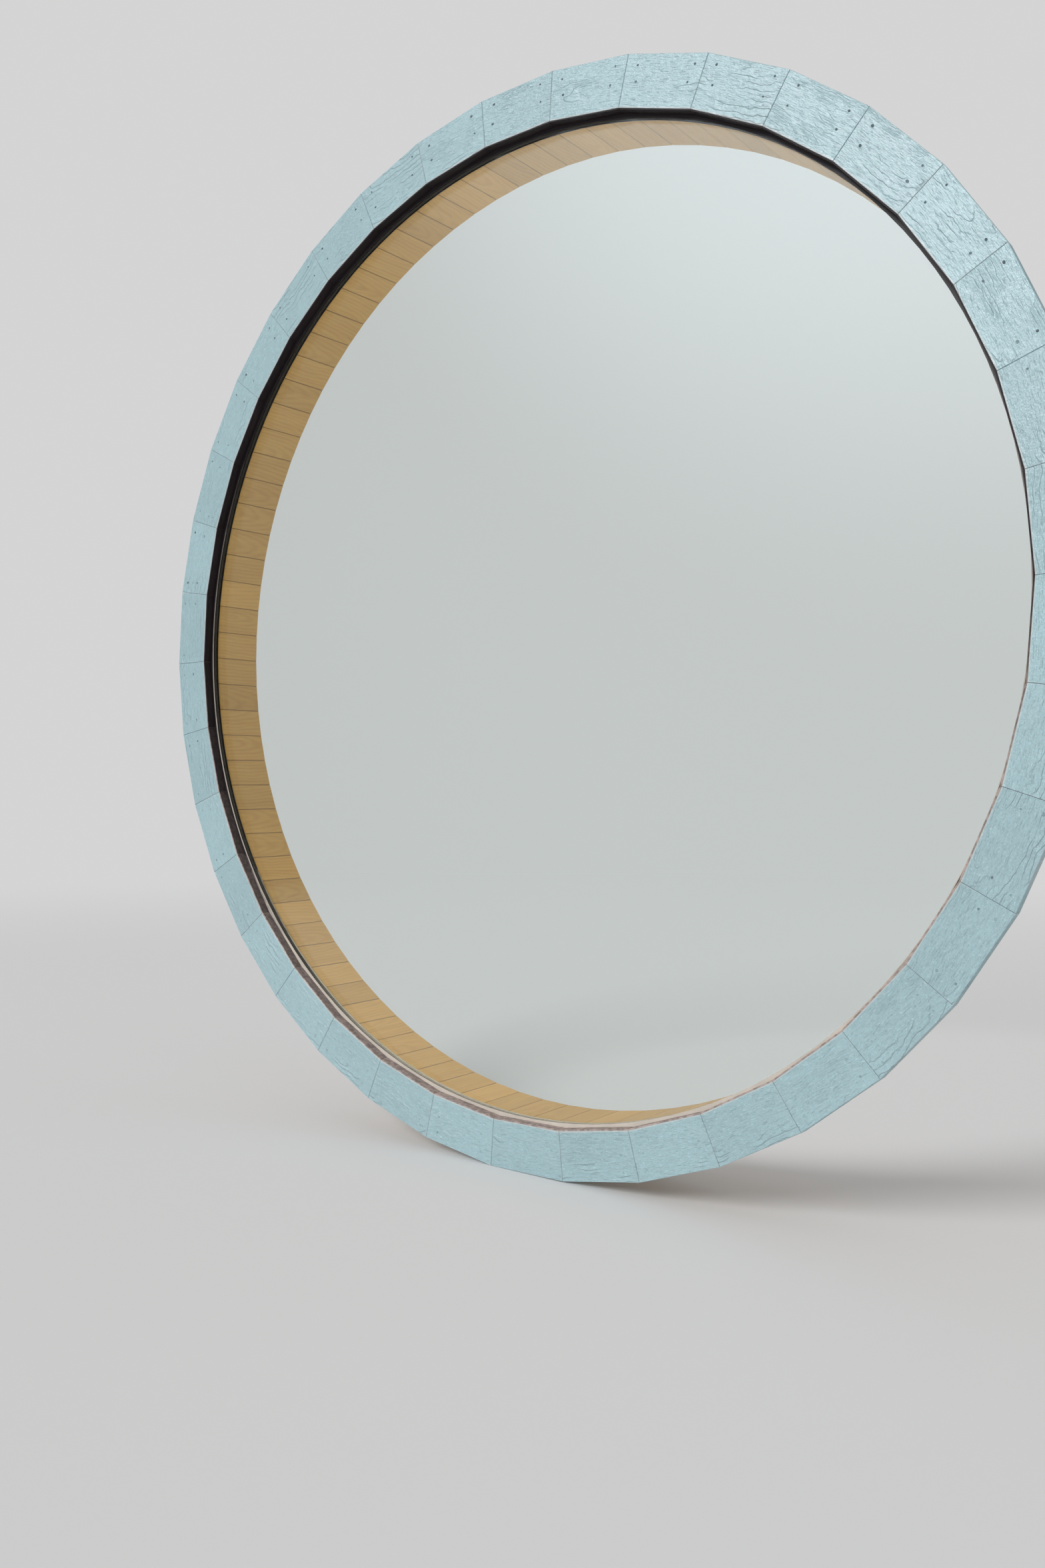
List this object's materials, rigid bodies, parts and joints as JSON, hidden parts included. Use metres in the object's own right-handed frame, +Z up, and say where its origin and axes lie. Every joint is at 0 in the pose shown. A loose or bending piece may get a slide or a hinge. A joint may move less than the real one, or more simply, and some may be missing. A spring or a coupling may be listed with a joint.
{
  "type": "round fixed window",
  "caption": "Large round fixed window with mitred teal casing boards, dark stops, sealed double glazing and a deep staved wooden reveal.",
  "frame": {"origin": "centre of the round opening, in the plane of the wall's outer face", "axes": "+X to the right as seen from outdoors, +Y into the room along the window's axis, +Z up"},
  "size_m": [2.007, 0.152, 2.002],
  "materials": {
    "teal_board": "satin teal paint over embossed cedar grain",
    "dark_stop": "satin dark bronze paint, dusty where it faces up",
    "glazing_tape": "matte dark tape, pale with settled dust along the bottom",
    "clear_glass": "clear polished float glass",
    "spacer_metal": "satin mill finish",
    "black_rubber": "matte black",
    "block_rubber": "matte dark grey",
    "hoop_plywood": "sanded plywood, pale and dark plies on its edges",
    "liner_wood": "satin clear finish on golden wood"
  },
  "bodies": {
    "root": {"casing_board_01": "teal_board", "casing_board_02": "teal_board", "casing_board_03": "teal_board", "casing_board_04": "teal_board", "casing_board_05": "teal_board", "casing_board_06": "teal_board", "casing_board_07": "teal_board", "casing_board_08": "teal_board", "casing_board_09": "teal_board", "casing_board_10": "teal_board", "casing_board_11": "teal_board", "casing_board_12": "teal_board", "casing_board_13": "teal_board", "casing_board_14": "teal_board", "casing_board_15": "teal_board", "casing_board_16": "teal_board", "casing_board_17": "teal_board", "casing_board_18": "teal_board", "casing_board_19": "teal_board", "casing_board_20": "teal_board", "casing_board_21": "teal_board", "casing_board_22": "teal_board", "casing_board_23": "teal_board", "casing_board_24": "teal_board", "casing_board_25": "teal_board", "casing_board_26": "teal_board", "casing_board_27": "teal_board", "casing_board_28": "teal_board", "casing_board_29": "teal_board", "casing_board_30": "teal_board", "casing_board_31": "teal_board", "casing_board_32": "teal_board", "casing_board_33": "teal_board", "casing_board_34": "teal_board", "casing_board_35": "teal_board", "casing_board_36": "teal_board", "casing_board_37": "teal_board", "casing_board_38": "teal_board", "exterior_stop_ring": "dark_stop", "exterior_tape": "glazing_tape", "outer_pane": "clear_glass", "spacer_bar": "spacer_metal", "edge_seal": "black_rubber", "inner_pane": "clear_glass", "interior_tape": "black_rubber", "setting_block_left": "block_rubber", "setting_block_right": "block_rubber", "side_block_left": "block_rubber", "side_block_right": "block_rubber", "frame_hoop": "hoop_plywood", "jamb_liner": "liner_wood"}
  },
  "joints": []
}
